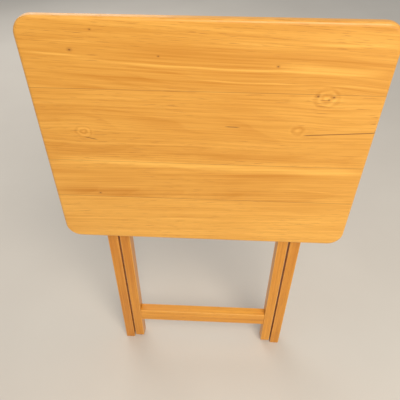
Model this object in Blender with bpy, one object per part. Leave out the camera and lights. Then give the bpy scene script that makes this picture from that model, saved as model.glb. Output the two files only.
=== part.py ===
"""Folding tray table, folded and standing upright.

The board hangs face forward from the tops of the outer legs.  The inner and outer legs cross at
the pivot bolts, halfway up.  Opened, both pairs of legs lean by LEAN, the board lies level, and
the round catch rail between the tops of the inner legs sits in the two hooks under the board.

X runs across the table, Y from the front to the back, Z up, all in metres.  The origin is on the
floor, at the middle of the folded table.
"""

from math import cos, pi, radians, sin, tan

import bmesh
import bpy
from mathutils import Vector

# ---------------------------------------------------------------- driving sizes
BOARD_WIDTH = 0.483
BOARD_DEPTH = 0.381
BOARD_THICKNESS = 0.016
BOARD_CORNER_RADIUS = 0.025
BOARD_ROUNDOVER = 0.005

FOLDED_HEIGHT = 0.740
HINGE_BELOW_EDGE = 0.055
LEAN = radians(22.5)

LEG_THICKNESS = 0.019
LEG_DEPTH = 0.025
LEG_ARRIS = 0.0015
RIM_ROUNDOVER = 0.0012
FRAME_WIDTH = 0.356
LEG_GAP = 0.0035
LEG_TO_BOARD = 0.0035

STRETCHER_HEIGHT = 0.033
STRETCHER_DEPTH = 0.019
STRETCHER_UP = 0.073
STRETCHER_SETBACK = 0.0005

OUTER_RAIL_HEIGHT = 0.040
OUTER_RAIL_THICKNESS = 0.015
OUTER_RAIL_ABOVE_PIVOT = 0.112
OUTER_RAIL_SCREW_SPACING = 0.020

CLEAT_THICKNESS = 0.018
CLEAT_TO_LEG = 0.002
CLEAT_ABOVE_HINGE = 0.030
CLEAT_ABOVE_PIVOT = 0.047
CLEAT_END_RADIUS = 0.014
CLEAT_SCREW_INSET = 0.028

CATCH_RAIL_DIAMETER = 0.019
CATCH_TENON_DIAMETER = 0.0124
CATCH_TENON_LENGTH = 0.012
HOOK_WIDTH = 0.030
HOOK_SPACING = 0.130
HOOK_WALL = 0.007
HOOK_TAIL = 0.020
HOOK_LIP = 0.006
HOOK_LIP_RADIUS = 0.0023
HOOK_SCREW_SPACING = 0.015
HOOK_ROUNDOVER = 0.0008

DOWEL_DIAMETER = 0.008
DOWEL_LENGTH = 0.026
DOWEL_SPACING = 0.016
DOWEL_CHAMFER = 0.001

BOLT_DIAMETER = 0.006
BOLT_HEAD_DIAMETER = 0.014
BOLT_HEAD_HEIGHT = 0.0035
BOLT_HEAD_RIM = 0.001
SOCKET_ACROSS_FLATS = 0.004
SOCKET_DEPTH = 0.002
WASHER_DIAMETER = 0.015
WASHER_THICKNESS = 0.0013
SPACER_DIAMETER = 0.018
NUT_ACROSS_FLATS = 0.010
NUT_HEIGHT = 0.0085
NUT_HEXAGON_HEIGHT = 0.004
NUT_DOME_DIAMETER = 0.009
NUT_CHAMFER = 0.0005
INSERT_DIAMETER = 0.010
INSERT_LENGTH = 0.013

SCREW_DIAMETER = 0.004
SCREW_HEAD_DIAMETER = 0.008
SCREW_HEAD_HEIGHT = 0.0026
SCREW_CROWN_DIAMETER = 0.0048
SCREW_CROWN_HEIGHT = 0.001
SCREW_POINT_DIAMETER = 0.0012
SCREW_POINT_LENGTH = 0.004
SCREW_IN_BOARD = 0.009
SCREW_IN_LEG = 0.015
SCREW_SINK = 0.006
CROSS_LENGTH = 0.0044
CROSS_WIDTH = 0.0011
CROSS_DEPTH = 0.0015
PLUG_DIAMETER = 0.010
PLUG_HEIGHT = 0.0045

GAP = 0.0003                  # between pieces that touch, and round shafts in their holes

# ---------------------------------------------------------------- how finely curves are drawn
SHORTEST_EDGE = 0.0001        # points of an outline nearer than this are one point
ROUND_STEPS = 20
SMALL_ROUND_STEPS = 12
DOME_STEPS = 4
CORNER_STEPS = 5
ARRIS_STEPS = 3
BOARD_CORNER_STEPS = 10
BOARD_RIM_STEPS = 4
WOOD_RIM_STEPS = 2
PLAIN_RIM_STEPS = 1
SMOOTH_BELOW = radians(35)    # faces that meet at less than this are shaded as one surface

# ---------------------------------------------------------------- sizes that follow from them
AXIS_BEHIND_BOARD = LEG_TO_BOARD + LEG_DEPTH / 2
TOTAL_DEPTH = BOARD_THICKNESS + AXIS_BEHIND_BOARD + LEG_DEPTH / 2 + GAP + OUTER_RAIL_THICKNESS

BOARD_FRONT = -TOTAL_DEPTH / 2
BOARD_BACK = BOARD_FRONT + BOARD_THICKNESS
HINGE_Y = BOARD_BACK + AXIS_BEHIND_BOARD
HINGE_Z = FOLDED_HEIGHT - HINGE_BELOW_EDGE
PIVOT_Z = HINGE_Z / 2
LEG_FRONT = HINGE_Y - LEG_DEPTH / 2
LEG_BACK = HINGE_Y + LEG_DEPTH / 2
LEG_TOP = HINGE_Z + LEG_DEPTH / 2

# How far the catch rail is from the hinge when the legs are spread.
CATCH_TRAVEL = 2 * (HINGE_Z - PIVOT_Z) * sin(LEAN)
CATCH_Z = HINGE_Z - CATCH_TRAVEL

OUTER_LEG_OUTSIDE = FRAME_WIDTH / 2
OUTER_LEG_INSIDE = OUTER_LEG_OUTSIDE - LEG_THICKNESS
INNER_LEG_OUTSIDE = OUTER_LEG_INSIDE - LEG_GAP
INNER_LEG_INSIDE = INNER_LEG_OUTSIDE - LEG_THICKNESS
CLEAT_INSIDE = OUTER_LEG_OUTSIDE + CLEAT_TO_LEG
CLEAT_OUTSIDE = CLEAT_INSIDE + CLEAT_THICKNESS
CLEAT_FRONT = BOARD_BACK + GAP
CLEAT_BACK = HINGE_Y + AXIS_BEHIND_BOARD - GAP
CLEAT_BOTTOM = PIVOT_Z + CLEAT_ABOVE_PIVOT
CLEAT_TOP = HINGE_Z + CLEAT_ABOVE_HINGE

OUTER_RAIL_FRONT = LEG_BACK + GAP
OUTER_RAIL_BACK = OUTER_RAIL_FRONT + OUTER_RAIL_THICKNESS
OUTER_RAIL_BOTTOM = PIVOT_Z + OUTER_RAIL_ABOVE_PIVOT
OUTER_RAIL_TOP = OUTER_RAIL_BOTTOM + OUTER_RAIL_HEIGHT

STRETCHER_FRONT = LEG_FRONT + STRETCHER_SETBACK
STRETCHER_BACK = STRETCHER_FRONT + STRETCHER_DEPTH
STRETCHER_TOP = STRETCHER_UP + STRETCHER_HEIGHT
STRETCHER_END = INNER_LEG_INSIDE - GAP

# Axes across the table, as (Y, Z).
HINGE = (HINGE_Y, HINGE_Z)
PIVOT = (HINGE_Y, PIVOT_Z)

SIDES = (("left", -1), ("right", 1))

# ---------------------------------------------------------------- finishes
HONEY_BOARD = (0.82, 0.47, 0.13)
HONEY_LEG = (0.76, 0.40, 0.10)
ZINC = (0.62, 0.61, 0.58)
BRASS = (0.72, 0.55, 0.25)
NYLON = (0.86, 0.84, 0.78)


def clear_scene():
    for old in list(bpy.data.objects):
        bpy.data.objects.remove(old, do_unlink=True)


def make_material(name, colour, roughness, metallic=0.0):
    material = bpy.data.materials.new(name)
    material.use_nodes = True
    shader = material.node_tree.nodes["Principled BSDF"]
    shader.inputs["Base Color"].default_value = (*colour, 1.0)
    shader.inputs["Roughness"].default_value = roughness
    shader.inputs["Metallic"].default_value = metallic
    return material


def make_axis(name, location, parent=None):
    """An empty on a joint's axis, which the pieces of one moving body hang from."""
    axis = bpy.data.objects.new(name, None)
    axis.location = location
    if parent:
        axis.parent = parent
        axis.location = Vector(location) - Vector(parent["at"])
    axis["at"] = tuple(location)
    bpy.context.collection.objects.link(axis)
    return axis


def finish_object(name, shape, axis, material):
    """Turns a bmesh in world places into an object whose origin is on its body's axis."""
    bmesh.ops.translate(shape, verts=shape.verts, vec=-Vector(axis["at"]))
    bmesh.ops.recalc_face_normals(shape, faces=shape.faces)
    if shape.calc_volume(signed=True) < 0:
        bmesh.ops.reverse_faces(shape, faces=shape.faces)
    mesh = bpy.data.meshes.new(name)
    shape.to_mesh(mesh)
    shape.free()
    mesh.shade_smooth()
    mesh.set_sharp_from_angle(angle=SMOOTH_BELOW)
    piece = bpy.data.objects.new(name, mesh)
    piece.parent = axis
    bpy.context.collection.objects.link(piece)
    if material:
        mesh.materials.append(material)
    return piece


# ---------------------------------------------------------------- outlines
def round_corners(corners, steps=CORNER_STEPS):
    """A closed outline from (point, radius) corners, each radius drawn as an arc."""
    outline = []
    count = len(corners)
    for index, (point, radius) in enumerate(corners):
        here = Vector(point)
        to_last = (Vector(corners[index - 1][0]) - here).normalized()
        to_next = (Vector(corners[(index + 1) % count][0]) - here).normalized()
        if radius <= 0:
            outline.append(here)
            continue
        half_angle = to_last.angle(to_next) / 2
        centre = here + (to_last + to_next).normalized() * radius / sin(half_angle)
        start = (here + to_last * radius / tan(half_angle) - centre).normalized()
        end = (here + to_next * radius / tan(half_angle) - centre).normalized()
        for step in range(steps + 1):
            outline.append(centre + start.slerp(end, step / steps) * radius)
    tidy = []
    for index, point in enumerate(outline):
        if (point - outline[index - 1]).length > SHORTEST_EDGE:
            tidy.append(point)
    return tidy


def rectangle(low_a, high_a, low_b, high_b, radius, steps):
    corners = [(low_a, low_b), (high_a, low_b), (high_a, high_b), (low_a, high_b)]
    return round_corners([(corner, radius) for corner in corners], steps)


def circle(centre, radius, steps=ROUND_STEPS):
    points = []
    for step in range(steps):
        angle = 2 * pi * step / steps
        points.append(Vector((centre[0] + radius * cos(angle), centre[1] + radius * sin(angle))))
    return points


def hexagon(centre, across_flats):
    return circle(centre, across_flats / 2 / cos(pi / 6), steps=6)


def dome(rim, crown, radius):
    """Profile points of a dome, from its rim at one place along the axis to its crown."""
    points = []
    for step in range(DOME_STEPS):
        angle = step / DOME_STEPS * pi / 2
        points.append((rim + (crown - rim) * sin(angle), radius * cos(angle)))
    points.append((crown, 0))
    return points


# ---------------------------------------------------------------- solids
def on_axis(direction, along, point):
    """World place of an outline point, for an outline drawn across X, Y or Z."""
    a, b = point
    return {"X": (along, a, b), "Y": (a, along, b), "Z": (a, b, along)}[direction]


def add_prism(shape, direction, outline, low, high):
    """Extrudes an outline from low to high; the rims are marked for a bevel."""
    weight = shape.edges.layers.float.get("bevel_weight_edge")
    if weight is None:
        weight = shape.edges.layers.float.new("bevel_weight_edge")
    ends = []
    for along in (low, high):
        ends.append([shape.verts.new(on_axis(direction, along, point)) for point in outline])
    for ring in ends:
        cap = shape.faces.new(ring)
        for edge in cap.edges:
            edge[weight] = 1.0
    for index in range(len(outline)):
        near, far = ends
        shape.faces.new((near[index - 1], near[index], far[index], far[index - 1]))


def add_turned(shape, direction, centre, profile, steps=ROUND_STEPS):
    """Turns a profile of (along, radius) points about an axis; radius 0 closes an end."""
    rings = []
    for along, radius in profile:
        if radius == 0:
            rings.append([shape.verts.new(on_axis(direction, along, centre))])
            continue
        points = circle(centre, radius, steps)
        rings.append([shape.verts.new(on_axis(direction, along, point)) for point in points])
    pairs = list(zip(rings, rings[1:]))
    if len(rings[0]) > 1:
        pairs.append((rings[-1], rings[0]))
    for near, far in pairs:
        for index in range(steps):
            if len(near) == 1:
                corners = (near[0], far[index], far[index - 1])
            elif len(far) == 1:
                corners = (near[index - 1], near[index], far[0])
            else:
                corners = (near[index - 1], near[index], far[index], far[index - 1])
            shape.faces.new(corners)


def round_rims(piece, radius, steps):
    bevel = piece.modifiers.new("rounded_rims", "BEVEL")
    bevel.limit_method = "WEIGHT"
    bevel.width = radius
    bevel.segments = steps
    bevel.use_clamp_overlap = True


def make_stick(
    name, direction, outline, low, high, axis, wood, rim=RIM_ROUNDOVER, rim_steps=WOOD_RIM_STEPS
):
    """A piece of wood: an extruded outline with its two rims rounded."""
    shape = bmesh.new()
    add_prism(shape, direction, outline, low, high)
    piece = finish_object(name, shape, axis, wood)
    round_rims(piece, rim, rim_steps)
    return piece


def cut_or_join(piece, operation, shape, axis):
    """Takes a shape away from a piece, or joins it on."""
    tool = finish_object(f"tool_{piece.name}_{len(piece.modifiers)}", shape, axis, None)
    tool.hide_render = True
    tool.display_type = "WIRE"
    step = piece.modifiers.new(operation.lower(), "BOOLEAN")
    step.operation = operation
    step.solver = "EXACT"
    step.object = tool


def cut_outline(piece, direction, outline, low, high, axis):
    shape = bmesh.new()
    add_prism(shape, direction, outline, low, high)
    cut_or_join(piece, "DIFFERENCE", shape, axis)


def across(side, inside, outside):
    """Low and high X of something between two distances from the middle, on one side."""
    return sorted((side * inside, side * outside))


def drill(piece, direction, centre, diameter, low, high, axis):
    """Cuts a hole with room in it for something round of that diameter."""
    cut_outline(piece, direction, circle(centre, diameter / 2 + GAP), low, high, axis)


def drill_across(piece, side, centre, diameter, inside, outside, axis):
    """A hole along X between two distances from the middle, on one side."""
    low, high = across(side, inside, outside)
    drill(piece, "X", centre, diameter, low, high, axis)


# ---------------------------------------------------------------- screws
def screw_profile(head_end, tip_end):
    """Pan head at head_end, shank to a blunt point at tip_end, in either direction."""
    way = 1 if tip_end > head_end else -1
    head = SCREW_HEAD_DIAMETER / 2
    shank = SCREW_DIAMETER / 2
    seat = head_end + way * SCREW_HEAD_HEIGHT
    return [
        (head_end, 0),
        (head_end, SCREW_CROWN_DIAMETER / 2),
        (head_end + way * SCREW_CROWN_HEIGHT, head),
        (seat, head),
        (seat, shank),
        (tip_end - way * SCREW_POINT_LENGTH, shank),
        (tip_end, SCREW_POINT_DIAMETER / 2),
        (tip_end, 0),
    ]


def cross_outline(centre_a, centre_b):
    """The outline of a cross recess."""
    long_arm = CROSS_LENGTH / 2
    short_arm = CROSS_WIDTH / 2
    points = []
    for a_way, b_way in ((1, 1), (-1, 1), (-1, -1), (1, -1)):
        corner = [
            (long_arm * a_way, short_arm * b_way),
            (short_arm * a_way, short_arm * b_way),
            (short_arm * a_way, long_arm * b_way),
        ]
        points += corner if a_way == b_way else corner[::-1]
    return [Vector((centre_a + a, centre_b + b)) for a, b in points]


def make_screws(name, places, head_end, tip_end, axis, material):
    """A numbered cross-head screw along Y at each place."""
    low = head_end - CROSS_DEPTH
    high = head_end + CROSS_DEPTH
    for number, place in enumerate(places, start=1):
        shape = bmesh.new()
        add_turned(shape, "Y", place, screw_profile(head_end, tip_end), steps=SMALL_ROUND_STEPS)
        screw = finish_object(f"{name}_{number}", shape, axis, material)
        cut_outline(screw, "Y", cross_outline(*place), low, high, axis)


def drill_for_screw(piece, place, back, sink, wide, front, axis):
    """A counterbore sunk from the back face, and a shank hole on through to front."""
    drill(piece, "Y", place, wide, back - sink, back + sink, axis)
    drill(piece, "Y", place, SCREW_DIAMETER, front, back, axis)


def drill_screw_point(piece, place, back, depth, axis):
    """A blind hole from a back face for the end of a screw that goes in by depth."""
    drill(piece, "Y", place, SCREW_DIAMETER, back - depth - GAP, back + GAP, axis)


def sunk_head_end(back):
    """Where the crown of a screw is, below the back face that its head is sunk in."""
    return back - SCREW_SINK + GAP + SCREW_HEAD_HEIGHT


# ---------------------------------------------------------------- the board and what is fixed to it
def cleat_screw_places():
    low = CLEAT_BOTTOM + CLEAT_SCREW_INSET
    high = HINGE_Z - CLEAT_SCREW_INSET
    middle = (CLEAT_INSIDE + CLEAT_OUTSIDE) / 2
    heights = (low, (low + high) / 2, high)
    return [(side * middle, height) for _, side in SIDES for height in heights]


def hook_middle(side):
    return side * HOOK_SPACING / 2


def hook_screw_places():
    """Two screws side by side in the tail of each hook."""
    height = CATCH_Z - CATCH_RAIL_DIAMETER / 2 - GAP - HOOK_TAIL / 2
    offset = HOOK_SCREW_SPACING / 2
    return [(hook_middle(side) + way * offset, height) for _, side in SIDES for way in (-1, 1)]


def make_board(axis, wood):
    half = BOARD_WIDTH / 2
    bottom = FOLDED_HEIGHT - BOARD_DEPTH
    outline = rectangle(
        -half, half, bottom, FOLDED_HEIGHT, BOARD_CORNER_RADIUS, BOARD_CORNER_STEPS
    )
    board = make_stick(
        "top_board",
        "Y",
        outline,
        BOARD_FRONT,
        BOARD_BACK,
        axis,
        wood,
        BOARD_ROUNDOVER,
        BOARD_RIM_STEPS,
    )
    for place in cleat_screw_places() + hook_screw_places():
        drill_screw_point(board, place, BOARD_BACK, SCREW_IN_BOARD, axis)


def make_cleats(axis, wood, steel):
    for name, side in SIDES:
        corners = [
            ((CLEAT_FRONT, CLEAT_BOTTOM), 0),
            ((CLEAT_BACK, CLEAT_BOTTOM), CLEAT_END_RADIUS),
            ((CLEAT_BACK, CLEAT_TOP), CLEAT_END_RADIUS),
            ((CLEAT_FRONT, CLEAT_TOP), 0),
        ]
        low, high = across(side, CLEAT_INSIDE, CLEAT_OUTSIDE)
        cleat = make_stick(f"cleat_{name}", "X", round_corners(corners), low, high, axis, wood)
        drill(cleat, "X", HINGE, BOLT_DIAMETER, low - GAP, high + GAP, axis)
        front = CLEAT_FRONT - GAP
        for place in cleat_screw_places():
            if place[0] * side > 0:
                drill_for_screw(
                    cleat, place, CLEAT_BACK, SCREW_SINK, SCREW_HEAD_DIAMETER, front, axis
                )
    head_end = sunk_head_end(CLEAT_BACK)
    tip_end = BOARD_BACK - SCREW_IN_BOARD
    make_screws("cleat_screw", cleat_screw_places(), head_end, tip_end, axis, steel)


def hook_outline():
    """A block with a slot, round at its closed end, that opens towards the hinge."""
    rail = CATCH_RAIL_DIAMETER / 2 + GAP
    lip = HOOK_LIP_RADIUS
    front = BOARD_BACK + GAP
    back = HINGE_Y + rail + HOOK_WALL
    mouth = CATCH_Z + rail + HOOK_LIP
    closed = CATCH_Z - rail
    tail = closed - HOOK_TAIL
    slot_front = HINGE_Y - rail
    slot_back = HINGE_Y + rail
    return round_corners(
        [
            ((front, tail), 0),
            ((back, tail), HOOK_WALL),
            ((back, mouth), lip),
            ((slot_back, mouth), lip),
            ((slot_back, closed), rail),
            ((slot_front, closed), rail),
            ((slot_front, mouth), lip),
            ((front, mouth), 0),
        ]
    )


def make_hooks(axis, wood, steel):
    outline = hook_outline()
    back = max(point[0] for point in outline)
    for name, side in SIDES:
        low = hook_middle(side) - HOOK_WIDTH / 2
        high = hook_middle(side) + HOOK_WIDTH / 2
        hook = make_stick(
            f"catch_hook_{name}",
            "X",
            outline,
            low,
            high,
            axis,
            wood,
            HOOK_ROUNDOVER,
            PLAIN_RIM_STEPS,
        )
        for place in hook_screw_places():
            if place[0] * side > 0:
                drill_for_screw(hook, place, back, SCREW_SINK, SCREW_HEAD_DIAMETER, BOARD_BACK, axis)
    head_end = sunk_head_end(back)
    tip_end = BOARD_BACK - SCREW_IN_BOARD
    make_screws("catch_hook_screw", hook_screw_places(), head_end, tip_end, axis, steel)


# ---------------------------------------------------------------- bolts, washers and nuts
def make_bolt(name, side, centre, seat, tip, axis, steel):
    """A domed socket-head bolt across the table, with its head outside of seat."""
    head = BOLT_HEAD_DIAMETER / 2
    shank = BOLT_DIAMETER / 2
    crown = seat + BOLT_HEAD_HEIGHT
    profile = dome(side * (seat + BOLT_HEAD_RIM), side * crown, head)[::-1]
    profile += [
        (side * seat, head),
        (side * seat, shank),
        (side * tip, shank),
        (side * tip, 0),
    ]
    shape = bmesh.new()
    add_turned(shape, "X", centre, profile)
    bolt = finish_object(name, shape, axis, steel)
    low, high = across(side, crown - SOCKET_DEPTH, crown + SOCKET_DEPTH)
    cut_outline(bolt, "X", hexagon(centre, SOCKET_ACROSS_FLATS), low, high, axis)


def make_ring(name, side, centre, diameter, inside, outside, axis, material):
    """A washer, spacer or sleeve round a bolt."""
    low, high = across(side, inside, outside)
    bore = BOLT_DIAMETER / 2 + GAP
    rim = diameter / 2
    shape = bmesh.new()
    add_turned(shape, "X", centre, [(low, bore), (low, rim), (high, rim), (high, bore)])
    finish_object(name, shape, axis, material)


def make_cap_nut(name, side, centre, seat, axis, steel):
    """A hexagon with a domed end and a blind hole for the bolt."""
    hexagon_end = seat - NUT_HEXAGON_HEIGHT
    low, high = across(side, hexagon_end, seat)
    shape = bmesh.new()
    add_prism(shape, "X", hexagon(centre, NUT_ACROSS_FLATS), low, high)
    nut = finish_object(name, shape, axis, steel)
    round_rims(nut, NUT_CHAMFER, PLAIN_RIM_STEPS)

    radius = NUT_DOME_DIAMETER / 2
    root = side * (hexagon_end + 2 * NUT_CHAMFER)
    profile = [(root, 0), (root, radius)]
    profile += dome(side * hexagon_end, side * (seat - NUT_HEIGHT), radius)
    cap = bmesh.new()
    add_turned(cap, "X", centre, profile)
    cut_or_join(nut, "UNION", cap, axis)
    drill_across(nut, side, centre, BOLT_DIAMETER, hexagon_end - GAP, seat + GAP, axis)


def make_hinges(axis, outer_axis, steel, brass):
    """The bolt through each cleat, its washer, and the threaded insert in the leg."""
    face = OUTER_LEG_OUTSIDE
    for name, side in SIDES:
        make_bolt(f"hinge_bolt_{name}", side, HINGE, CLEAT_OUTSIDE + GAP, face + GAP, axis, steel)
        make_ring(
            f"hinge_washer_{name}",
            side,
            HINGE,
            WASHER_DIAMETER,
            face + GAP,
            CLEAT_INSIDE - GAP,
            axis,
            steel,
        )
        make_ring(
            f"hinge_insert_{name}",
            side,
            HINGE,
            INSERT_DIAMETER,
            face - INSERT_LENGTH,
            face - GAP,
            outer_axis,
            brass,
        )


def make_pivots(axis, steel, nylon):
    """Bolt, spacer, washer and cap nut where an outer and an inner leg cross."""
    washer_outside = INNER_LEG_INSIDE - GAP
    washer_inside = washer_outside - WASHER_THICKNESS
    nut_seat = washer_inside - GAP
    head_seat = OUTER_LEG_OUTSIDE + GAP
    tip = nut_seat - NUT_HEXAGON_HEIGHT
    for name, side in SIDES:
        make_bolt(f"pivot_bolt_{name}", side, PIVOT, head_seat, tip, axis, steel)
        make_ring(
            f"pivot_spacer_{name}",
            side,
            PIVOT,
            SPACER_DIAMETER,
            INNER_LEG_OUTSIDE + GAP,
            OUTER_LEG_INSIDE - GAP,
            axis,
            nylon,
        )
        make_ring(
            f"pivot_washer_{name}",
            side,
            PIVOT,
            WASHER_DIAMETER,
            washer_inside,
            washer_outside,
            axis,
            steel,
        )
        make_cap_nut(f"pivot_cap_nut_{name}", side, PIVOT, nut_seat, axis, steel)


# ---------------------------------------------------------------- legs
def leg_outline(long_edge_in_front):
    """A leg from the side: round top on the hinge axis, foot cut to stand flat when it leans."""
    rounding = LEG_ARRIS * (1 / cos(LEAN) + tan(LEAN) - 1)
    long_end = -rounding
    short_end = long_end + LEG_DEPTH * tan(LEAN)
    front_end, back_end = (long_end, short_end) if long_edge_in_front else (short_end, long_end)
    return round_corners(
        [
            ((LEG_FRONT, front_end), LEG_ARRIS),
            ((LEG_BACK, back_end), LEG_ARRIS),
            ((LEG_BACK, LEG_TOP), LEG_DEPTH / 2),
            ((LEG_FRONT, LEG_TOP), LEG_DEPTH / 2),
        ]
    )


def outer_rail_screw_places():
    across_leg = (OUTER_LEG_INSIDE + OUTER_LEG_OUTSIDE) / 2
    middle = (OUTER_RAIL_BOTTOM + OUTER_RAIL_TOP) / 2
    offset = OUTER_RAIL_SCREW_SPACING / 2
    heights = (middle - offset, middle + offset)
    return [(side * across_leg, height) for _, side in SIDES for height in heights]


def make_outer_legs(axis, wood):
    outside = OUTER_LEG_OUTSIDE + GAP
    for name, side in SIDES:
        low, high = across(side, OUTER_LEG_INSIDE, OUTER_LEG_OUTSIDE)
        leg = make_stick(f"outer_leg_{name}", "X", leg_outline(True), low, high, axis, wood)
        drill_across(leg, side, PIVOT, BOLT_DIAMETER, OUTER_LEG_INSIDE - GAP, outside, axis)
        insert_end = OUTER_LEG_OUTSIDE - INSERT_LENGTH - GAP
        drill_across(leg, side, HINGE, INSERT_DIAMETER, insert_end, outside, axis)
        for place in outer_rail_screw_places():
            if place[0] * side > 0:
                drill_screw_point(leg, place, LEG_BACK, SCREW_IN_LEG, axis)


def make_outer_rail(axis, wood, steel):
    """A rail across the backs of the outer legs, its screws hidden under wooden plugs."""
    outline = rectangle(
        OUTER_RAIL_FRONT,
        OUTER_RAIL_BACK,
        OUTER_RAIL_BOTTOM,
        OUTER_RAIL_TOP,
        LEG_ARRIS,
        ARRIS_STEPS,
    )
    end = OUTER_LEG_OUTSIDE
    rail = make_stick("outer_rail", "X", outline, -end, end, axis, wood)

    plug_back = OUTER_RAIL_BACK - GAP
    plug_front = plug_back - PLUG_HEIGHT
    head_end = plug_front - GAP
    sink = OUTER_RAIL_BACK - (head_end - SCREW_HEAD_HEIGHT - GAP)
    front = OUTER_RAIL_FRONT - GAP
    places = outer_rail_screw_places()
    for number, place in enumerate(places, start=1):
        drill_for_screw(rail, place, OUTER_RAIL_BACK, sink, PLUG_DIAMETER, front, axis)
        plug = bmesh.new()
        add_prism(plug, "Y", circle(place, PLUG_DIAMETER / 2), plug_front, plug_back)
        finish_object(f"outer_rail_plug_{number}", plug, axis, wood)
    make_screws("outer_rail_screw", places, head_end, LEG_BACK - SCREW_IN_LEG, axis, steel)


def dowel_places():
    """Side and middle of each dowel, on the joints between the stretcher and the inner legs."""
    middle_y = (STRETCHER_FRONT + STRETCHER_BACK) / 2
    middle_z = (STRETCHER_UP + STRETCHER_TOP) / 2
    heights = (middle_z - DOWEL_SPACING / 2, middle_z + DOWEL_SPACING / 2)
    return [(side, (middle_y, height)) for _, side in SIDES for height in heights]


def make_inner_legs(axis, wood):
    inside = INNER_LEG_INSIDE - GAP
    for name, side in SIDES:
        low, high = across(side, INNER_LEG_INSIDE, INNER_LEG_OUTSIDE)
        leg = make_stick(f"inner_leg_{name}", "X", leg_outline(False), low, high, axis, wood)
        drill_across(leg, side, PIVOT, BOLT_DIAMETER, inside, INNER_LEG_OUTSIDE + GAP, axis)
        tenon_end = INNER_LEG_INSIDE + CATCH_TENON_LENGTH + GAP
        drill_across(leg, side, HINGE, CATCH_TENON_DIAMETER, inside, tenon_end, axis)
        dowel_end = INNER_LEG_INSIDE + DOWEL_LENGTH / 2 + GAP
        for dowel_side, centre in dowel_places():
            if dowel_side == side:
                drill_across(leg, side, centre, DOWEL_DIAMETER, inside, dowel_end, axis)


def make_stretcher(axis, wood):
    outline = rectangle(
        STRETCHER_FRONT, STRETCHER_BACK, STRETCHER_UP, STRETCHER_TOP, LEG_ARRIS, ARRIS_STEPS
    )
    end = STRETCHER_END
    stretcher = make_stick(
        "inner_stretcher", "X", outline, -end, end, axis, wood, GAP, PLAIN_RIM_STEPS
    )
    for side, centre in dowel_places():
        drill_across(
            stretcher, side, centre, DOWEL_DIAMETER, end - DOWEL_LENGTH / 2, end + GAP, axis
        )


def make_dowels(axis, wood):
    radius = DOWEL_DIAMETER / 2
    chamfer = DOWEL_CHAMFER
    for number, (side, centre) in enumerate(dowel_places(), start=1):
        low, high = across(
            side, STRETCHER_END - DOWEL_LENGTH / 2 + GAP, INNER_LEG_INSIDE + DOWEL_LENGTH / 2 - GAP
        )
        profile = [
            (low, 0),
            (low, radius - chamfer),
            (low + chamfer, radius),
            (high - chamfer, radius),
            (high, radius - chamfer),
            (high, 0),
        ]
        shape = bmesh.new()
        add_turned(shape, "X", centre, profile, steps=SMALL_ROUND_STEPS)
        finish_object(f"stretcher_dowel_{number}", shape, axis, wood)


def make_catch_rail(axis, wood):
    """Round rail with a smaller tenon at each end, which turns in the inner legs."""
    shoulder = INNER_LEG_INSIDE - GAP
    tip = INNER_LEG_INSIDE + CATCH_TENON_LENGTH
    radius = CATCH_RAIL_DIAMETER / 2
    tenon = CATCH_TENON_DIAMETER / 2
    chamfer = LEG_ARRIS / 2
    half = [
        (tip, 0),
        (tip, tenon - chamfer),
        (tip - chamfer, tenon),
        (shoulder, tenon),
        (shoulder, radius - LEG_ARRIS),
        (shoulder - LEG_ARRIS, radius),
    ]
    profile = [(-along, distance) for along, distance in half] + half[::-1]
    shape = bmesh.new()
    add_turned(shape, "X", HINGE, profile)
    finish_object("catch_rail", shape, axis, wood)


def build():
    clear_scene()
    board_wood = make_material("honey_lacquered_board", HONEY_BOARD, 0.32)
    leg_wood = make_material("honey_lacquered_leg", HONEY_LEG, 0.36)
    steel = make_material("zinc_plated_steel", ZINC, 0.35, metallic=1.0)
    brass = make_material("brass_insert", BRASS, 0.35, metallic=1.0)
    nylon = make_material("nylon_spacer", NYLON, 0.5)

    pivots = make_axis("centre_pivot_axis", (0, *PIVOT))
    outer = make_axis("outer_frame_axis", (0, *PIVOT), pivots)
    inner = make_axis("inner_frame_axis", (0, *PIVOT), pivots)
    rail = make_axis("catch_rail_axis", (0, *HINGE), inner)
    top = make_axis("top_axis", (0, *HINGE), rail)

    make_board(top, board_wood)
    make_cleats(top, leg_wood, steel)
    make_hooks(top, leg_wood, steel)
    make_hinges(top, outer, steel, brass)
    make_outer_legs(outer, leg_wood)
    make_outer_rail(outer, leg_wood, steel)
    make_inner_legs(inner, leg_wood)
    make_stretcher(inner, leg_wood)
    make_dowels(inner, leg_wood)
    make_catch_rail(rail, leg_wood)
    make_pivots(pivots, steel, nylon)


build()
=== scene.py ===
"""Looks for the folding tray table: honey-lacquered rubberwood, zinc-plated steel, studio light."""

from math import cos, pi, sin

import bpy
from mathutils import Matrix, Vector


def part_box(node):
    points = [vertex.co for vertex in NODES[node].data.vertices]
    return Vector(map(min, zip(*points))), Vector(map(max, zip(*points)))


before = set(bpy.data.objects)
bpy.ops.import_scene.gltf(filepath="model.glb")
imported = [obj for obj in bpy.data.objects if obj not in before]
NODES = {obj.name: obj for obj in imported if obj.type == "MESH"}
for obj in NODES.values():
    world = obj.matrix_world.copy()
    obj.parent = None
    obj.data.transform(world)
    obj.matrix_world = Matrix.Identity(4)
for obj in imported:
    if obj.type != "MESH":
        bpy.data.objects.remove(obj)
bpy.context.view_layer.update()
MM = 0.001

# ---------------------------------------------------------------- the board's figure
BOARD_LOW, BOARD_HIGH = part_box("top_board")
BOARD_MIDDLE = (BOARD_LOW + BOARD_HIGH) / 2
BOARD_HALF = (BOARD_HIGH - BOARD_LOW) / 2
BOARD_CORNER = 25 * MM

# The board is edge-glued from four staves.  Places on it are given as across, from its middle,
# and down, from its upper edge.
GLUE_LINES = (94.5 * MM, 214 * MM, 285 * MM)

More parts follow.
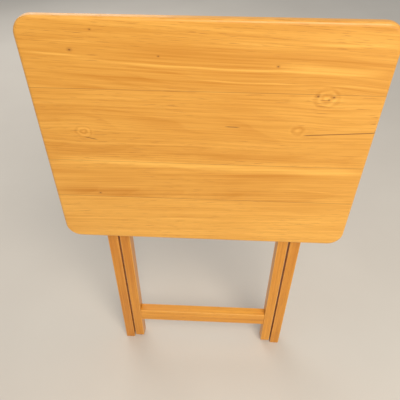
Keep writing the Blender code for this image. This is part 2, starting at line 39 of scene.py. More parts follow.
# For each stave from the top: how far the grain drops along it, where the tree's pith was,
# how deep behind the face that lies, and how much paler the stave is.
STAVE_SLOPES = (0.045, 0.008, -0.03, -0.03)
STAVE_PITHS = (120 * MM, 166 * MM, 262 * MM, 405 * MM)
STAVE_PITH_DEPTHS = (46 * MM, 60 * MM, 40 * MM, 70 * MM)
STAVE_TONES = (0.0, 0.03, 0.06, 0.15)

# Soft streaks of paler (above 0) or browner wood: across and down at each end, half width, change.
STREAKS = (
    (-250 * MM, 42 * MM, -110 * MM, 57 * MM, 3.5 * MM, 0.36),
    (-140 * MM, 56 * MM, 240 * MM, 66 * MM, 2.5 * MM, 0.36),
    (-250 * MM, 30 * MM, -100 * MM, 29 * MM, 4.0 * MM, 0.22),
    (0 * MM, 30 * MM, 260 * MM, 28 * MM, 3.0 * MM, 0.30),
    (80 * MM, 58 * MM, 260 * MM, 61 * MM, 9.0 * MM, 0.36),
    (-40 * MM, 76 * MM, 240 * MM, 84 * MM, 2.0 * MM, 0.34),
    (-260 * MM, 209 * MM, 20 * MM, 219 * MM, 10.0 * MM, 0.46),
    (-40 * MM, 219 * MM, 260 * MM, 224 * MM, 12.0 * MM, 0.50),
    (-260 * MM, 190 * MM, 260 * MM, 202 * MM, 14.0 * MM, -0.20),
    (-260 * MM, 272 * MM, -60 * MM, 282 * MM, 14.0 * MM, -0.18),
    (120 * MM, 255 * MM, 260 * MM, 271 * MM, 2.5 * MM, 0.32),
    (-250 * MM, 339 * MM, 60 * MM, 331 * MM, 2.5 * MM, 0.26),
    (170 * MM, 150 * MM, 260 * MM, 141 * MM, 6.0 * MM, 0.32),
)
STREAK_TAPER = 60 * MM
# The streaks wander by this much, in waves of this length and width, and are broken into shorter
# ones by a cloud that fades them out between two of its values.
STREAK_WANDER = 12 * MM
STREAK_WANDER_SIZE = (140 * MM, 50 * MM)
STREAK_BREAK_SIZE = (250 * MM, 3.8 * MM)
STREAK_BREAK_RANGE = (0.22, 0.56)

# Small brown pin knots: across, down, radius.
PIN_KNOTS = (
    (-173 * MM, 41 * MM, 1.5 * MM),
    (-143 * MM, 15 * MM, 0.9 * MM),
    (93 * MM, 57 * MM, 1.1 * MM),
    (-168 * MM, 278 * MM, 1.2 * MM),
    (151 * MM, 97 * MM, 1.6 * MM),
    (172 * MM, 98 * MM, 1.6 * MM),
    (166 * MM, 102 * MM, 1.0 * MM),
    (-60 * MM, 47 * MM, 0.9 * MM),
)
PIN_KNOT_LENGTH = 1.35

# Larger, pale-hearted knots with rings round them: across, down, radius, gap between rings.
RING_KNOTS = (
    (-176 * MM, 162 * MM, 15 * MM, 6.5 * MM),
    (132 * MM, 151 * MM, 13 * MM, 11 * MM),
    (163 * MM, 100 * MM, 22 * MM, 9 * MM),
)
KNOT_RING_LENGTH = 1.2
KNOT_RING_STRENGTH = 0.19
KNOT_RING_FADE = (1.0, 0.35)
KNOT_RING_WANDER = 8 * MM
KNOT_RING_WANDER_SIZE = 11 * MM
# The grain is squeezed aside by these knots, further along it than across it.
KNOT_PULL = 0.75
KNOT_PULL_LENGTH = 2.2

# Fine dark checks: across and down at each end, half width.
CHECKS = (
    (139 * MM, 158.7 * MM, 246 * MM, 150.8 * MM, 1.3 * MM),
    (27 * MM, 147.3 * MM, 52 * MM, 148.0 * MM, 1.1 * MM),
    (-179 * MM, 170.5 * MM, -155 * MM, 175.6 * MM, 1.1 * MM),
)
CHECK_STRENGTH = 0.85
CRACK_TAPER = 8 * MM
GLUE_HALF_WIDTH = 0.9 * MM
GLUE_STRENGTH = 0.40

# The wood is painted paler towards the right, a painted sheen of the light on that side, and each
# stave was sawn a little askew to its pith.
RIGHT_SHEEN_SPAN = (30 * MM, 200 * MM)
RIGHT_SHEEN_TONE = 0.07
BOARD_PITH_LEAN = 0.08

# The rim is paler in patches, partly rubbed by hands and partly a painted highlight on the
# roundover, from this far inside the outline to this far.
BOARD_RIM = (4.5 * MM, 1.0 * MM)
BOARD_RIM_PATCH_SIZE = 16 * MM
BOARD_RIM_PATCH_RANGE = (0.25, 0.62)
BOARD_RUB_AND_HIGHLIGHT = 0.15


# ---------------------------------------------------------------- node helpers
# The colour sockets of a Mix node, which has others of the same names.
AMOUNT, FROM, TO, MIXED = 0, 6, 7, 2
# The ways that the grain of a piece can run.
X_AXIS, Z_AXIS = 0, 2
# A cloud of noise is spread about this value.
CLOUD_MIDDLE = 0.5


def linear(hex_colour):
    """An sRGB hex colour as the linear RGBA that a shader socket takes."""
    channels = []
    for start in (1, 3, 5):
        value = int(hex_colour[start:start + 2], 16) / 255
        channels.append(value / 12.92 if value <= 0.04045 else ((value + 0.055) / 1.055) ** 2.4)
    return (*channels, 1.0)


def add(tree, kind, inputs=(), out=0, **settings):
    """Adds a node with its settings; inputs are values or links, in order or by key."""
    made = tree.nodes.new(f"ShaderNode{kind}")
    for name, value in settings.items():
        setattr(made, name, value)
    for key, value in inputs.items() if isinstance(inputs, dict) else enumerate(inputs):
        if isinstance(value, bpy.types.NodeSocket):
            tree.links.new(value, made.inputs[key])
        else:
            made.inputs[key].default_value = value
    return made.outputs[out]


def new_material(name):
    material = bpy.data.materials.new(name)
    material.use_nodes = True
    tree = material.node_tree
    return material, tree, tree.nodes["Principled BSDF"]


def wear(piece, material):
    piece.data.materials.clear()
    piece.data.materials.append(material)


# ---------------------------------------------------------------- wood
# Rubberwood under honey-coloured lacquer: amber early wood, browner late wood, short dark pores.
BOARD_LIGHT = linear("#F7BC57")
BOARD_DARK = linear("#C17704")
STICK_LIGHT = linear("#F7B141")
STICK_DARK = linear("#B86B08")
PORE_BROWN = linear("#9E5B18")
KNOT_BROWN = linear("#6B3A14")
RUBBED_AND_HIGHLIT_PALE = linear("#F8C26A")

# Each pin knot is a brown halo and a darker core: where the stain begins and is full, in knot
# radii, its colour and its strength.
PIN_KNOT_STAINS = (
    (2.8, 0.8, PORE_BROWN, 0.35),
    (1.1, 0.3, KNOT_BROWN, 0.72),
)

# The wood's tone is 0 where it is darkest and 1 where it is palest.
MIDDLE_TONE = 0.5

# What makes up the figure: length and width of its streaks, fineness, strength.
FIGURE_LAYERS = (
    (100 * MM, 1.25 * MM, 3.0, 0.62),
    (330 * MM, 3.8 * MM, 4.0, 0.85),
    (620 * MM, 29 * MM, 1.0, 0.45),
    (200 * MM, 62 * MM, 2.0, 0.50),
)
FIGURE_ROUGHNESS = 0.6

# Growth rings: their strength and wander, and the patches that they show in.
RING_STRENGTH = -0.11
RING_WANDER = 26 * MM
RING_WANDER_SIZE = (400 * MM, 90 * MM)
RING_PATCH_SIZE = (330 * MM, 33 * MM)
RING_PATCH_RANGE = (0.38, 0.70)
BOARD_RING_GAP = 7 * MM
STICK_RING_GAP = 5 * MM
# A ring darkens slowly through its late wood, and ends sharply.
LATE_WOOD_RISE = (0.35, 0.92)
LATE_WOOD_FALL = (1.0, 0.93)

# Pores are 0.3 mm wide; they are drawn 0.7 mm wide so that they show.
PORE_SIZE = (26 * MM, 0.7 * MM)
PORE_RANGE = (0.62, 0.75)
PORE_PATCH_SIZE = (200 * MM, 62 * MM)
PORE_PATCH_RANGE = (0.30, 0.62)
PORE_STRENGTH = 0.7

# Each stave or stick is from another part of the tree, this many metres further on.
STAVE_STEP = 1.7

# The legs are darkened with painted shade, for the shadow that the board casts on them; the
# rails get none.
UPRIGHT_PAINTED_SHADE = -0.08
LEVEL_PAINTED_SHADE = 0.0
# Each stick was sawn at another distance from the pith, which it nears along its length.
STICK_PITHS_BESIDE = (-18 * MM, -27 * MM, -36 * MM, -45 * MM)
STICK_PITHS_BEHIND = (-24 * MM, -31 * MM, -38 * MM, -45 * MM, -52 * MM)
STICK_PITH_LEANS = (-0.012, -0.024, -0.036)
STICK_TONES = (-0.06, -0.02, 0.02, 0.06)
# Its arrises, where two sides meet, are paler in patches, partly rubbed and partly a painted
# highlight.
ARRIS_WIDTH = 2.2 * MM
ARRIS_GAIN = 3.0
ARRIS_PATCH_SIZE = 14 * MM
ARRIS_PATCH_RANGE = (0.2, 0.6)
STICK_RUB_AND_HIGHLIGHT = 0.35

LACQUER_IOR = 1.5
LACQUER_ROUGHNESS = 0.37
# The lacquer is smeared in patches of this size, which vary its gloss and its thickness.
SMEAR_SIZE = 33 * MM
SMEAR_ROUGHNESS = 0.14
WORN_ROUGHNESS = 0.12
COAT_WEIGHT = 0.15
COAT_ROUGHNESS = 0.18
# How far pores, cracks and smears stand out of the lacquer or sink into it, as parts of RELIEF.
PORE_RELIEF = -0.35
CRACK_RELIEF = -1.0
SMEAR_RELIEF = 0.25
RELIEF = 0.25 * MM
RELIEF_STRENGTH = 0.35


def streaky(tree, grain, length, width, detail=2.0, roughness=0.5):
    """Cloud in streaks of that length along the grain and that width."""
    stretch = (1 / length, 1 / width, 1 / width)
    scaled = add(tree, "VectorMath", (grain, stretch), operation="MULTIPLY")
    inputs = {"Vector": scaled, "Scale": 1.0, "Detail": detail, "Roughness": roughness}
    return add(tree, "TexNoise", inputs)


def late_wood(tree, grain, pith, ring_gap):
    """Brown lines where the shells of growth rings round the pith meet the surface, 0 to 1."""
    off = add(tree, "VectorMath", (grain, pith), operation="SUBTRACT")
    off = add(tree, "VectorMath", (off, (0, 1, 1)), operation="MULTIPLY")
    distance = add(tree, "VectorMath", (off,), out="Value", operation="LENGTH")
    wander = streaky(tree, grain, *RING_WANDER_SIZE, detail=3.0)
    distance = add(tree, "Math", (wander, RING_WANDER, distance), operation="MULTIPLY_ADD")
    turn = add(tree, "Math", (distance, ring_gap), operation="DIVIDE")
    turn = add(tree, "Math", (turn,), operation="FRACT")
    rise = add(tree, "MapRange", (turn, *LATE_WOOD_RISE), interpolation_type="SMOOTHSTEP")
    fall = add(tree, "MapRange", (turn, *LATE_WOOD_FALL), interpolation_type="SMOOTHSTEP")
    return add(tree, "Math", (rise, fall), operation="MULTIPLY")


def wood_figure(tree, grain, pith, ring_gap):
    """The light and dark of the grain as a tone about its middle, and the pores as 0 to 1."""
    tone = MIDDLE_TONE
    for length, width, detail, strength in FIGURE_LAYERS:
        layer = streaky(tree, grain, length, width, detail, FIGURE_ROUGHNESS)
        layer = add(tree, "Math", (layer, CLOUD_MIDDLE), operation="SUBTRACT")
        tone = add(tree, "Math", (layer, strength, tone), operation="MULTIPLY_ADD")
    rings = late_wood(tree, grain, pith, ring_gap)
    patchy = streaky(tree, grain, *RING_PATCH_SIZE)
    patchy = add(tree, "MapRange", (patchy, *RING_PATCH_RANGE), interpolation_type="SMOOTHSTEP")
    rings = add(tree, "Math", (rings, patchy), operation="MULTIPLY")
    tone = add(tree, "Math", (rings, RING_STRENGTH, tone), operation="MULTIPLY_ADD")
    pore = streaky(tree, grain, *PORE_SIZE, detail=1.0)
    pore = add(tree, "MapRange", (pore, *PORE_RANGE), interpolation_type="SMOOTHSTEP")
    coarse = streaky(tree, grain, *PORE_PATCH_SIZE)
    coarse = add(tree, "MapRange", (coarse, *PORE_PATCH_RANGE), interpolation_type="SMOOTHSTEP")
    return tone, add(tree, "Math", (pore, coarse), operation="MULTIPLY")


def colour_wood(tree, tone, pore, dark, light):
    """The colour of a tone between the dark and the light wood, with its pores browned."""
    tone = add(tree, "Math", (tone, 0.0), operation="ADD", use_clamp=True)
    colour = add(tree, "Mix", {AMOUNT: tone, FROM: dark, TO: light}, out=MIXED, data_type="RGBA")
    pore = add(tree, "Math", (pore, PORE_STRENGTH), operation="MULTIPLY")
    browned = {AMOUNT: pore, FROM: colour, TO: PORE_BROWN}
    return add(tree, "Mix", browned, out=MIXED, data_type="RGBA")


def finish_wood(tree, shader, colour, pore, groove, worn_and_highlit):
    """Lacquer over the grain: satin, a little rougher where worn, dented at pores and cracks."""
    place = add(tree, "TexCoord", out="Object")
    smear = add(tree, "TexNoise", {"Vector": place, "Scale": 1 / SMEAR_SIZE, "Detail": 3.0})
    uneven = add(tree, "Math", (smear, CLOUD_MIDDLE), operation="SUBTRACT")
    rough = (uneven, SMEAR_ROUGHNESS, LACQUER_ROUGHNESS)
    rough = add(tree, "Math", rough, operation="MULTIPLY_ADD")
    rough = add(tree, "Math", (worn_and_highlit, WORN_ROUGHNESS, rough), operation="MULTIPLY_ADD")
    height = add(tree, "Math", (pore, PORE_RELIEF), operation="MULTIPLY")
    height = add(tree, "Math", (groove, CRACK_RELIEF, height), operation="MULTIPLY_ADD")
    height = add(tree, "Math", (smear, SMEAR_RELIEF, height), operation="MULTIPLY_ADD")
    relief = {"Strength": RELIEF_STRENGTH, "Distance": RELIEF, "Height": height}
    normal = add(tree, "Bump", relief)
    tree.links.new(colour, shader.inputs["Base Color"])
    tree.links.new(rough, shader.inputs["Roughness"])
    tree.links.new(normal, shader.inputs["Normal"])
    shader.inputs["IOR"].default_value = LACQUER_IOR
    shader.inputs["Coat Weight"].default_value = COAT_WEIGHT
    shader.inputs["Coat Roughness"].default_value = COAT_ROUGHNESS


def by_stave(tree, beneath, values):
    """A value that changes at each glue line; beneath has 0 or 1 for each of them."""
    total = values[0]
    for step, above, below in zip(beneath, values, values[1:]):
        total = add(tree, "Math", (step, below - above, total), operation="MULTIPLY_ADD")
    return total


def knot_reach(tree, board, knot, length):
    """Distance from a knot's middle in knot radii; along the grain a radius is length times it."""
    across, down, radius = knot[:3]
    scale = (1 / (radius * length), 1 / radius, 0)
    shift = (-across * scale[0], -down * scale[1], 0)
    offset = add(tree, "VectorMath", (board, scale, shift), operation="MULTIPLY_ADD")
    return add(tree, "VectorMath", (offset,), out="Value", operation="LENGTH")


def near_line(tree, along, down, line, half_width, taper):
    """1 on a straight line that fades out at its sides and its two ends."""
    start, start_down, end, end_down = line
    rise = (end_down - start_down) / (end - start)
    off = add(tree, "Math", (along, rise, start_down - rise * start), operation="MULTIPLY_ADD")
    off = add(tree, "Math", (off, down), operation="SUBTRACT")
    off = add(tree, "Math", (off,), operation="ABSOLUTE")
    near = add(tree, "MapRange", (off, half_width, 0.0), interpolation_type="SMOOTHSTEP")
    for limit, inner in ((start, start + taper), (end, end - taper)):
        inside = add(tree, "MapRange", (along, limit, inner), interpolation_type="SMOOTHSTEP")
        near = add(tree, "Math", (near, inside), operation="MULTIPLY")
    return near


def bend_round_knots(tree, board, down):
    """The grain's own down, squeezed aside by the larger knots."""
    bent = down
    for knot in RING_KNOTS:
        pull = knot_reach(tree, board, knot, KNOT_PULL_LENGTH)
        pull = add(tree, "Math", (pull, -1.0), operation="MULTIPLY")
        pull = add(tree, "Math", (pull,), operation="EXPONENT")
        offset = add(tree, "Math", (down, knot[1]), operation="SUBTRACT")
        offset = add(tree, "Math", (offset, pull), operation="MULTIPLY")
        bent = add(tree, "Math", (offset, -KNOT_PULL, bent), operation="MULTIPLY_ADD")
    return bent


def add_streaks(tree, tone, along, down, grain):
    """Streaks that wander a little, and come and go along the grain."""
    wander = streaky(tree, grain, *STREAK_WANDER_SIZE)
    wavy = add(tree, "Math", (wander, CLOUD_MIDDLE), operation="SUBTRACT")
    wavy = add(tree, "Math", (wavy, STREAK_WANDER, down), operation="MULTIPLY_ADD")
    broken = streaky(tree, grain, *STREAK_BREAK_SIZE, 3.0, FIGURE_ROUGHNESS)
    broken = add(tree, "MapRange", (broken, *STREAK_BREAK_RANGE), interpolation_type="SMOOTHSTEP")
    total = 0.0
    for *line, half_width, change in STREAKS:
        near = near_line(tree, along, wavy, line, half_width, STREAK_TAPER)
        total = add(tree, "Math", (near, change, total), operation="MULTIPLY_ADD")
    return add(tree, "Math", (total, broken, tone), operation="MULTIPLY_ADD")


def add_rings(tree, tone, board):
    """Pale hearts with fine uneven rings round the larger knots."""
    cloud = {"Vector": board, "Scale": 1 / KNOT_RING_WANDER_SIZE, "Detail": 2.0}
    uneven = add(tree, "TexNoise", cloud, out="Color")
    uneven = add(tree, "VectorMath", (uneven, (CLOUD_MIDDLE,) * 3), operation="SUBTRACT")
    uneven = (uneven, (KNOT_RING_WANDER,) * 3, board)
    board = add(tree, "VectorMath", uneven, operation="MULTIPLY_ADD")
    for knot in RING_KNOTS:
        radius, ring_gap = knot[2:]
        reach = knot_reach(tree, board, knot, KNOT_RING_LENGTH)
        circles = add(tree, "Math", (reach, 2 * pi * radius / ring_gap), operation="MULTIPLY")
        circles = add(tree, "Math", (circles,), operation="COSINE")
        near = add(tree, "MapRange", (reach, *KNOT_RING_FADE), interpolation_type="SMOOTHSTEP")
        swing = add(tree, "Math", (circles, near), operation="MULTIPLY")
        tone = add(tree, "Math", (swing, KNOT_RING_STRENGTH, tone), operation="MULTIPLY_ADD")
    return tone


def stain_knots(tree, colour, board):
    """The colour with the pin knots' brown halos and cores."""
    for knot in PIN_KNOTS:
        reach = knot_reach(tree, board, knot, PIN_KNOT_LENGTH)
        for edge, core, brown, strength in PIN_KNOT_STAINS:
            stain = add(tree, "MapRange", (reach, edge, core), interpolation_type="SMOOTHSTEP")
            stain = add(tree, "Math", (stain, strength), operation="MULTIPLY")
            browned = {AMOUNT: stain, FROM: colour, TO: brown}
            colour = add(tree, "Mix", browned, out=MIXED, data_type="RGBA")
    return colour


def rubbed_and_highlit_board_rim(tree, place, along, up):
    """1 at the rounded rim of the board, in patches where hands have rubbed it and where a painted
    highlight lies.
    """
    squares = 0.0
    for value, middle, half in (
        (along, BOARD_MIDDLE.x, BOARD_HALF.x),
        (up, BOARD_MIDDLE.z, BOARD_HALF.z),
    ):
        off = add(tree, "Math", (value, middle), operation="SUBTRACT")
        off = add(tree, "Math", (off,), operation="ABSOLUTE")
        off = add(tree, "Math", (off, half - BOARD_CORNER), operation="SUBTRACT")
        off = add(tree, "Math", (off, 0.0), operation="MAXIMUM")
        squares = add(tree, "Math", (off, off, squares), operation="MULTIPLY_ADD")
    reach = add(tree, "Math", (squares,), operation="SQRT")
    rim = [BOARD_CORNER - inside for inside in BOARD_RIM]
    worn_and_highlit = add(tree, "MapRange", (reach, *rim), interpolation_type="SMOOTHSTEP")
    patch = add(tree, "TexNoise", {"Vector": place, "Scale": 1 / BOARD_RIM_PATCH_SIZE, "Detail": 3.0})
    patch = add(tree, "MapRange", (patch, *BOARD_RIM_PATCH_RANGE), interpolation_type="SMOOTHSTEP")
    return add(tree, "Math", (worn_and_highlit, patch), operation="MULTIPLY")


def lacquered_board():
    """Four rubberwood staves edge-glued and sanded flush under clear satin lacquer.

    The eye gets a change of figure at each glue line, small knots, a pale edge that is partly
    rubbed and partly a painted highlight, and a painted sheen that makes the right side paler.
    """
    material, tree, shader = new_material("lacquered_rubberwood_board")
    place = add(tree, "TexCoord", out="Object")
    along, through, up = (add(tree, "SeparateXYZ", (place,), out=axis) for axis in "XYZ")
    down = add(tree, "Math", (BOARD_HIGH.z, up), operation="SUBTRACT")
    board = add(tree, "CombineXYZ", (along, down, 0.0))

    beneath = [add(tree, "Math", (down, line), operation="GREATER_THAN") for line in GLUE_LINES]
    slope = by_stave(tree, beneath, STAVE_SLOPES)
    slope = add(tree, "Math", (slope, -1.0), operation="MULTIPLY")
    across = bend_round_knots(tree, board, down)
    across = add(tree, "Math", (along, slope, across), operation="MULTIPLY_ADD")
    steps = [STAVE_STEP * stave for stave in range(len(STAVE_SLOPES))]
    further = by_stave(tree, beneath, steps)
    further = add(tree, "Math", (further, along), operation="ADD")
    grain = add(tree, "CombineXYZ", (further, across, through))
    depth = by_stave(tree, beneath, STAVE_PITH_DEPTHS)
    depth = add(tree, "Math", (along, BOARD_PITH_LEAN, depth), operation="MULTIPLY_ADD")
    pith = add(tree, "CombineXYZ", (0.0, by_stave(tree, beneath, STAVE_PITHS), depth))
    tone, pore = wood_figure(tree, grain, pith, BOARD_RING_GAP)

    shade = by_stave(tree, beneath, STAVE_TONES)
    tone = add(tree, "Math", (tone, shade), operation="ADD")
    # Painted sheen: the tone rises towards the right, standing in for the light's sheen there.
    painted_sheen = add(tree, "MapRange", (along, *RIGHT_SHEEN_SPAN), interpolation_type="SMOOTHSTEP")
    tone = add(tree, "Math", (painted_sheen, RIGHT_SHEEN_TONE, tone), operation="MULTIPLY_ADD")
    tone = add_streaks(tree, tone, along, down, grain)
    tone = add_rings(tree, tone, board)
    colour = colour_wood(tree, tone, pore, BOARD_DARK, BOARD_LIGHT)
    colour = stain_knots(tree, colour, board)

    # Dark hairlines: the glue lines right across, and the checks where the wood has split.
    groove = 0.0
    edge = BOARD_HALF.x + CRACK_TAPER
    lines = [((-edge, at, edge, at), GLUE_HALF_WIDTH, GLUE_STRENGTH) for at in GLUE_LINES]
    lines += [(line, half_width, CHECK_STRENGTH) for *line, half_width in CHECKS]
    for line, half_width, strength in lines:
        crack = near_line(tree, along, down, line, half_width, CRACK_TAPER)
        crack = add(tree, "Math", (crack, strength), operation="MULTIPLY")
        darkened = {AMOUNT: crack, FROM: colour, TO: KNOT_BROWN}
        colour = add(tree, "Mix", darkened, out=MIXED, data_type="RGBA")
        groove = add(tree, "Math", (crack, groove), operation="ADD")

    # The pale rim: partly rubbed wear, partly a painted highlight; the same mask makes it rougher.
    worn_and_highlit = rubbed_and_highlit_board_rim(tree, place, along, up)
    pale = add(tree, "Math", (worn_and_highlit, BOARD_RUB_AND_HIGHLIGHT), operation="MULTIPLY")
    rubbed_and_highlit = {AMOUNT: pale, FROM: colour, TO: RUBBED_AND_HIGHLIT_PALE}
    colour = add(tree, "Mix", rubbed_and_highlit, out=MIXED, data_type="RGBA")
    finish_wood(tree, shader, colour, pore, groove, worn_and_highlit)
    return material


def lacquered_stick(node, grain_axis, seed, shade):
    """Planed rubberwood, its long edges eased with sandpaper, under clear satin lacquer.

    The grain runs the length of the piece, its arcs show on the ends, the eased edges are paler,
    partly rubbed and partly a painted highlight; upright pieces are darkened with painted shade.
    """
    material, tree, shader = new_material(f"lacquered_rubberwood_{node}")
    low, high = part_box(node)
    middle = (low + high) / 2
    half = (high - low) / 2
    place = add(tree, "TexCoord", out="Object")
    along = add(tree, "SeparateXYZ", (place,), out=grain_axis)
    along = add(tree, "Math", (along, STAVE_STEP * seed), operation="ADD")
    crossing = [axis for axis in range(3) if axis != grain_axis]
    sides = []
    for axis in crossing:
        side = add(tree, "SeparateXYZ", (place,), out=axis)
        sides.append(add(tree, "Math", (side, middle[axis]), operation="SUBTRACT"))
    grain = add(tree, "CombineXYZ", (along, *sides))
    beside, behind, lean, offset = (
        values[seed % len(values)]
        for values in (STICK_PITHS_BESIDE, STICK_PITHS_BEHIND, STICK_PITH_LEANS, STICK_TONES)
    )
    behind = add(tree, "Math", (along, lean, behind), operation="MULTIPLY_ADD")
    pith = add(tree, "CombineXYZ", (0.0, beside, behind))
    tone, pore = wood_figure(tree, grain, pith, STICK_RING_GAP)
    # For upright pieces, shade is painted shade for the board's shadow; offset is the stick's own
    # tone.
    tone = add(tree, "Math", (tone, shade + offset), operation="ADD")
    colour = colour_wood(tree, tone, pore, STICK_DARK, STICK_LIGHT)

    # The arrises are where both sides are within their width of the outside.
    worn_and_highlit = ARRIS_GAIN
    for side, axis in zip(sides, crossing):
        off = add(tree, "Math", (side,), operation="ABSOLUTE")
        rim = (off, half[axis] - ARRIS_WIDTH, half[axis])
        rim = add(tree, "MapRange", rim, interpolation_type="SMOOTHSTEP")
        worn_and_highlit = add(tree, "Math", (rim, worn_and_highlit), operation="MULTIPLY")
    patch = add(tree, "TexNoise", {"Vector": place, "Scale": 1 / ARRIS_PATCH_SIZE, "Detail": 3.0})
    patch = add(tree, "MapRange", (patch, *ARRIS_PATCH_RANGE), interpolation_type="SMOOTHSTEP")
    worn_and_highlit = add(tree, "Math", (worn_and_highlit, patch), operation="MULTIPLY", use_clamp=True)
    # The pale arrises: partly rubbed wear, partly a painted highlight.
    pale = add(tree, "Math", (worn_and_highlit, STICK_RUB_AND_HIGHLIGHT), operation="MULTIPLY")
    rubbed_and_highlit = {AMOUNT: pale, FROM: colour, TO: RUBBED_AND_HIGHLIT_PALE}
    colour = add(tree, "Mix", rubbed_and_highlit, out=MIXED, data_type="RGBA")
    finish_wood(tree, shader, colour, pore, 0.0, worn_and_highlit)
    return material


# ---------------------------------------------------------------- metal and plastic
ZINC_GREY = "#BDBAB2"
ZINC_ROUGHNESS = 0.34
BRASS_YELLOW = "#CBA659"
BRASS_ROUGHNESS = 0.32
# A metal piece is brighter in patches of the first size, and its tool marks are of the second.
TARNISH_SIZE = 4 * MM
TOOL_MARK_SIZE = 0.8 * MM
TARNISH_ROUGHNESS = 0.22
BRIGHTER = 1.2
TOOL_MARK_DEPTH = 0.05 * MM
TOOL_MARK_STRENGTH = 0.2

NYLON_SHADE = linear("#D8D2C2")
NYLON_WHITE = linear("#EDE9DD")
NYLON_SPECKLE_SIZE = 1.1 * MM
NYLON_ROUGHNESS = 0.40
NYLON_UNEVENNESS = 0.15


def tumbled_metal(name, hex_colour, roughness):
    """Zinc-plated steel or brass, turned and tumbled: fine tool marks and a soft cloudy gloss."""
    material, tree, shader = new_material(name)
    place = add(tree, "TexCoord", out="Object")
    cloud = add(tree, "TexNoise", {"Vector": place, "Scale": 1 / TARNISH_SIZE, "Detail": 4.0})
    marks = add(tree, "TexNoise", {"Vector": place, "Scale": 1 / TOOL_MARK_SIZE, "Detail": 2.0})
    dull = linear(hex_colour)
    bright = (*(min(1.0, channel * BRIGHTER) for channel in dull[:3]), 1.0)
    colour = add(tree, "Mix", {AMOUNT: cloud, FROM: dull, TO: bright}, out=MIXED, data_type="RGBA")
    rough = (cloud, TARNISH_ROUGHNESS, roughness - TARNISH_ROUGHNESS / 2)
    rough = add(tree, "Math", rough, operation="MULTIPLY_ADD")
    relief = {"Strength": TOOL_MARK_STRENGTH, "Distance": TOOL_MARK_DEPTH, "Height": marks}
    normal = add(tree, "Bump", relief)
    tree.links.new(colour, shader.inputs["Base Color"])
    tree.links.new(rough, shader.inputs["Roughness"])
    tree.links.new(normal, shader.inputs["Normal"])
    shader.inputs["Metallic"].default_value = 1.0
    return material


def moulded_nylon():
    """Injection-moulded nylon: milky, faintly speckled, softly shiny."""
    material, tree, shader = new_material("moulded_nylon")
    place = add(tree, "TexCoord", out="Object")
    cloud = {"Vector": place, "Scale": 1 / NYLON_SPECKLE_SIZE, "Detail": 3.0}
    speckle = add(tree, "TexNoise", cloud)
    milky = {AMOUNT: speckle, FROM: NYLON_SHADE, TO: NYLON_WHITE}
    colour = add(tree, "Mix", milky, out=MIXED, data_type="RGBA")
    rough = (speckle, NYLON_UNEVENNESS, NYLON_ROUGHNESS)
    rough = add(tree, "Math", rough, operation="MULTIPLY_ADD")
    tree.links.new(colour, shader.inputs["Base Color"])
    tree.links.new(rough, shader.inputs["Roughness"])
    return material


# ---------------------------------------------------------------- the pieces
STEEL_WORDS = ("screw", "bolt", "washer", "nut")
UPRIGHT_STICKS = ("outer_leg", "inner_leg", "cleat", "catch_hook")
LEVEL_STICKS = ("outer_rail", "inner_stretcher", "catch_rail", "stretcher_dowel")
# Faces that meet at less than this, in radians, are shaded as one smooth surface.
SMOOTH_UNDER = 0.6


def smooth_nodes():
    for piece in NODES.values():
        piece.data.shade_smooth()
        piece.data.set_sharp_from_angle(angle=SMOOTH_UNDER)


def dress_nodes():
    """Gives each piece its material; the wooden sticks each get their own grain."""
    zinc = tumbled_metal("zinc_plated_steel", ZINC_GREY, ZINC_ROUGHNESS)
    brass = tumbled_metal("turned_brass", BRASS_YELLOW, BRASS_ROUGHNESS)
    nylon = moulded_nylon()
    for seed, name in enumerate(sorted(NODES)):
        piece = NODES[name]
        if name == "top_board":
            wear(piece, lacquered_board())
        elif any(word in name for word in STEEL_WORDS):
            wear(piece, zinc)
        elif "insert" in name:
            wear(piece, brass)
        elif "spacer" in name:
            wear(piece, nylon)
        elif name.startswith(UPRIGHT_STICKS):
            # Upright sticks are darkened with painted shade.
            wear(piece, lacquered_stick(name, Z_AXIS, seed, UPRIGHT_PAINTED_SHADE))
        elif name.startswith(LEVEL_STICKS):
            wear(piece, lacquered_stick(name, X_AXIS, seed, LEVEL_PAINTED_SHADE))
        else:
            raise ValueError(f"no finish for {name}")


# ---------------------------------------------------------------- floor, light and camera
FLOOR_HALF = 6.0
FLOOR_SHADE = linear("#CFCBC5")
FLOOR_PALE = linear("#DAD7D1")
FLOOR_CLOUD_SIZE = 330 * MM
FLOOR_ROUGHNESS = 0.9

SKY_WHITE = linear("#F4F2EE")
SKY_STRENGTH = 0.5
# Soft square lamps, aimed at the middle of the table: place, width, watts, colour.
LAMP_TARGET = (0, 0, 0.4)
LAMPS = {
    "overhead": ((0.55, -1.35, 2.0), 1.1, 31, "#FFF1DE"),
    "front_fill": ((1.2, -2.1, 1.0), 1.6, 13, "#FFF4E6"),
    "back_fill": ((-1.0, 1.9, 1.6), 1.6, 16, "#FFF8F0"),
}

# The camera's tilt down, turn and roll in radians, its lens and sensor in millimetres, and how
# far it is from the middle of the board's top front edge.
CAMERA_ANGLES = (0.71808, 0.04255, 0.00568)
CAMERA_LENS = 38.7
CAMERA_SENSOR = 36
CAMERA_FROM_BOARD_TOP = Vector((0.01665, -0.5279, 0.17491))


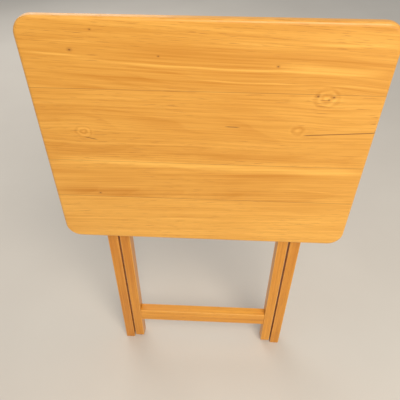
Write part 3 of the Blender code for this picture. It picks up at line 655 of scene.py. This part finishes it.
def make_floor():
    """A plain pale matt floor, very faintly cloudy."""
    mesh = bpy.data.meshes.new("studio_floor")
    turns = ((-1, -1), (1, -1), (1, 1), (-1, 1))
    corners = [(x * FLOOR_HALF, y * FLOOR_HALF, 0) for x, y in turns]
    mesh.from_pydata(corners, [], [(0, 1, 2, 3)])
    floor = bpy.data.objects.new("studio_floor", mesh)
    bpy.context.scene.collection.objects.link(floor)
    material, tree, shader = new_material("pale_matt_floor")
    place = add(tree, "TexCoord", out="Object")
    cloud = add(tree, "TexNoise", {"Vector": place, "Scale": 1 / FLOOR_CLOUD_SIZE, "Detail": 5.0})
    greys = {AMOUNT: cloud, FROM: FLOOR_SHADE, TO: FLOOR_PALE}
    colour = add(tree, "Mix", greys, out=MIXED, data_type="RGBA")
    tree.links.new(colour, shader.inputs["Base Color"])
    shader.inputs["Roughness"].default_value = FLOOR_ROUGHNESS
    mesh.materials.append(material)


def make_lamp(name, place, width, watts, hex_colour):
    lamp = bpy.data.lights.new(name, "AREA")
    lamp.shape = "SQUARE"
    lamp.size = width
    lamp.energy = watts
    lamp.color = linear(hex_colour)[:3]
    holder = bpy.data.objects.new(name, lamp)
    holder.location = place
    aim = Vector(LAMP_TARGET) - Vector(place)
    holder.rotation_euler = aim.to_track_quat("-Z", "Y").to_euler()
    bpy.context.scene.collection.objects.link(holder)


def make_studio():
    world = bpy.data.worlds.new("studio")
    world.use_nodes = True
    background = world.node_tree.nodes["Background"]
    background.inputs["Color"].default_value = SKY_WHITE
    background.inputs["Strength"].default_value = SKY_STRENGTH
    bpy.context.scene.world = world
    bpy.context.scene.view_settings.view_transform = "Standard"
    for name, (place, width, watts, hex_colour) in LAMPS.items():
        make_lamp(name, place, width, watts, hex_colour)


def make_camera():
    """Just in front of the table and above it, looking down at the board."""
    down, turn, roll = CAMERA_ANGLES
    forward = Vector((-sin(turn) * cos(down), cos(turn) * cos(down), -sin(down)))
    right = Vector((cos(turn), sin(turn), 0))
    over = right.cross(forward)
    rolled_right = right * cos(roll) + over * sin(roll)
    rolled_over = over * cos(roll) - right * sin(roll)
    camera = bpy.data.cameras.new("camera")
    camera.sensor_width = CAMERA_SENSOR
    camera.lens = CAMERA_LENS
    holder = bpy.data.objects.new("camera", camera)
    turned = Matrix((rolled_right, rolled_over, -forward)).transposed().to_4x4()
    board_top = Vector((0, BOARD_LOW.y, BOARD_HIGH.z))
    holder.matrix_world = Matrix.Translation(board_top + CAMERA_FROM_BOARD_TOP) @ turned
    bpy.context.scene.collection.objects.link(holder)
    bpy.context.scene.camera = holder


smooth_nodes()
dress_nodes()
make_floor()
make_studio()
make_camera()
